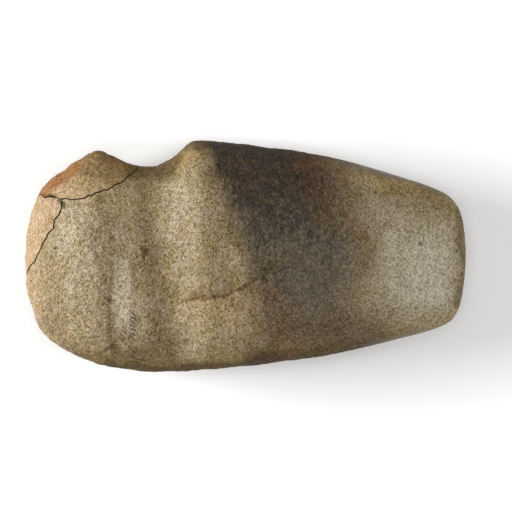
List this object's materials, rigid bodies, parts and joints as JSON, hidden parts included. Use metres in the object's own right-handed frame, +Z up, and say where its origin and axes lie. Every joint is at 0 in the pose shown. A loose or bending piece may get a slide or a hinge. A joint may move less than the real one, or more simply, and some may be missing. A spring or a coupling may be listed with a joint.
{
  "type": "three-quarter grooved stone axe head",
  "caption": "Three-quarter grooved stone axe head with a rounded poll, a pecked groove for a bent wooden haft, a polished bit, and broken poll fragments put back in place.",
  "frame": {"origin": "centre of the bounding box in plan, at the level of the surface that the axe head lies on", "axes": "+X from the poll to the bit, +Y towards the grooved edge, +Z up out of the broad face that the picture shows"},
  "size_m": [0.2, 0.105, 0.0628],
  "materials": {
    "axe_body_stone": "pecked, ground and partly polished grey-brown stone with a dark stain",
    "corner_fragment_stone": "pecked stone stained rust brown",
    "edge_fragment_stone": "pecked stone, bleached light tan"
  },
  "bodies": {
    "root": {"axe_body": "axe_body_stone", "poll_corner_fragment": "corner_fragment_stone", "poll_edge_fragment": "edge_fragment_stone"}
  },
  "joints": []
}
